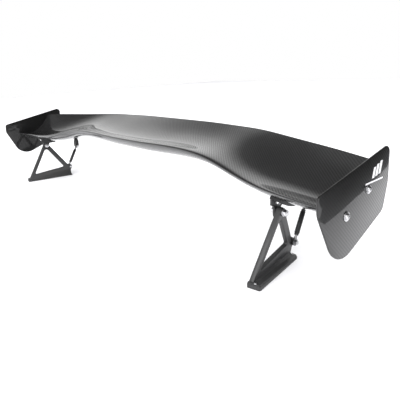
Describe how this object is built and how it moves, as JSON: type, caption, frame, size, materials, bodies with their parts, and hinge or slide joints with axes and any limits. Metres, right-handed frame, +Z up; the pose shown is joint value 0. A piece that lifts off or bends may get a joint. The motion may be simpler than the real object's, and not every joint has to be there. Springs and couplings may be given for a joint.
{
  "type": "adjustable racing rear wing",
  "caption": "Racing rear wing: curved carbon aerofoil with flat endplates on two triangular pedestals, its angle set by turnbuckle struts.",
  "frame": {"origin": "under the middle of the whole wing's box, on the plane the two base plates stand on", "axes": "+X along the span towards the left end, -Y the way the car drives, +Z up; the wing is its own mirror image across X = 0"},
  "size_m": [1.5478, 0.3306, 0.271],
  "materials": {
    "carbon": "gloss",
    "foam": "matte",
    "plain_aluminium": "satin",
    "brass_insert": "satin",
    "black_anodised": "satin",
    "black_steel": "satin",
    "zinc_steel": "satin",
    "stainless": "satin"
  },
  "bodies": {
    "root": {"upright_left": "black_anodised", "upright_right": "black_anodised", "base_plate_left": "black_anodised", "base_plate_right": "black_anodised", "foot_screws_left": "stainless", "foot_screws_right": "stainless", "pivot_bolt_left": "stainless", "pivot_bolt_right": "stainless", "pivot_washers_left": "stainless", "pivot_washers_right": "stainless", "pivot_nut_left": "stainless", "pivot_nut_right": "stainless", "strut_lower_bolt_left": "stainless", "strut_lower_bolt_right": "stainless", "strut_lower_nut_left": "stainless", "strut_lower_nut_right": "stainless"},
    "wing": {"upper_skin": "carbon", "lower_skin": "carbon", "core_centre": "foam", "core_left": "foam", "core_right": "foam", "tip_rib_left": "plain_aluminium", "tip_rib_right": "plain_aluminium", "tip_inserts_left": "brass_insert", "tip_inserts_right": "brass_insert", "front_insert_left": "plain_aluminium", "front_insert_right": "plain_aluminium", "rear_insert_left": "plain_aluminium", "rear_insert_right": "plain_aluminium", "endplate_left": "carbon", "endplate_right": "carbon", "endplate_washers_left": "stainless", "endplate_washers_right": "stainless", "endplate_bolts_left": "stainless", "endplate_bolts_right": "stainless", "front_bracket_left": "black_anodised", "front_bracket_right": "black_anodised", "front_bracket_screws_left": "stainless", "front_bracket_screws_right": "stainless", "rear_bracket_left": "black_anodised", "rear_bracket_right": "black_anodised", "rear_bracket_screws_left": "stainless", "rear_bracket_screws_right": "stainless", "strut_upper_bolt_left": "stainless", "strut_upper_bolt_right": "stainless", "strut_upper_nut_left": "stainless", "strut_upper_nut_right": "stainless"},
    "lower_rod_left": {"strut_lower_rod_left": "zinc_steel"},
    "sleeve_left": {"strut_sleeve_left": "black_anodised", "strut_jam_nuts_left": "black_steel"},
    "upper_rod_left": {"strut_upper_rod_left": "zinc_steel"},
    "lower_rod_right": {"strut_lower_rod_right": "zinc_steel"},
    "sleeve_right": {"strut_sleeve_right": "black_anodised", "strut_jam_nuts_right": "black_steel"},
    "upper_rod_right": {"strut_upper_rod_right": "zinc_steel"}
  },
  "joints": [
    {"name": "angle_of_attack", "type": "hinge", "parent": "root", "child": "wing", "pos_m": [0, -0.06074, 0.1375], "axis": [1, 0, 0], "range_deg": [-4, 10]},
    {"name": "strut_swing_left", "type": "hinge", "parent": "root", "child": "lower_rod_left", "pos_m": [0.588, 0.01976, 0.038], "axis": [1, 0, 0], "range_deg": [-2.2, 5.2]},
    {"name": "sleeve_travel_left", "type": "slide", "parent": "lower_rod_left", "child": "sleeve_left", "axis": [0, 0.4838, 0.8752], "range_m": [-0.0045, 0.011]},
    {"name": "rod_travel_left", "type": "slide", "parent": "sleeve_left", "child": "upper_rod_left", "axis": [0, 0.4838, 0.8752], "range_m": [-0.0045, 0.011]},
    {"name": "strut_swing_right", "type": "hinge", "parent": "root", "child": "lower_rod_right", "pos_m": [-0.588, 0.01976, 0.038], "axis": [1, 0, 0], "range_deg": [-2.2, 5.2]},
    {"name": "sleeve_travel_right", "type": "slide", "parent": "lower_rod_right", "child": "sleeve_right", "axis": [0, 0.4838, 0.8752], "range_m": [-0.0045, 0.011]},
    {"name": "rod_travel_right", "type": "slide", "parent": "sleeve_right", "child": "upper_rod_right", "axis": [0, 0.4838, 0.8752], "range_m": [-0.0045, 0.011]}
  ],
  "couplings": [
    {"joint": "strut_swing_left", "follows": "angle_of_attack", "ratio": 0.48028},
    {"joint": "sleeve_travel_left", "follows": "angle_of_attack", "m_per_rad": 0.058644},
    {"joint": "rod_travel_left", "follows": "angle_of_attack", "m_per_rad": 0.058644},
    {"joint": "strut_swing_right", "follows": "angle_of_attack", "ratio": 0.48028},
    {"joint": "sleeve_travel_right", "follows": "angle_of_attack", "m_per_rad": 0.058644},
    {"joint": "rod_travel_right", "follows": "angle_of_attack", "m_per_rad": 0.058644}
  ]
}
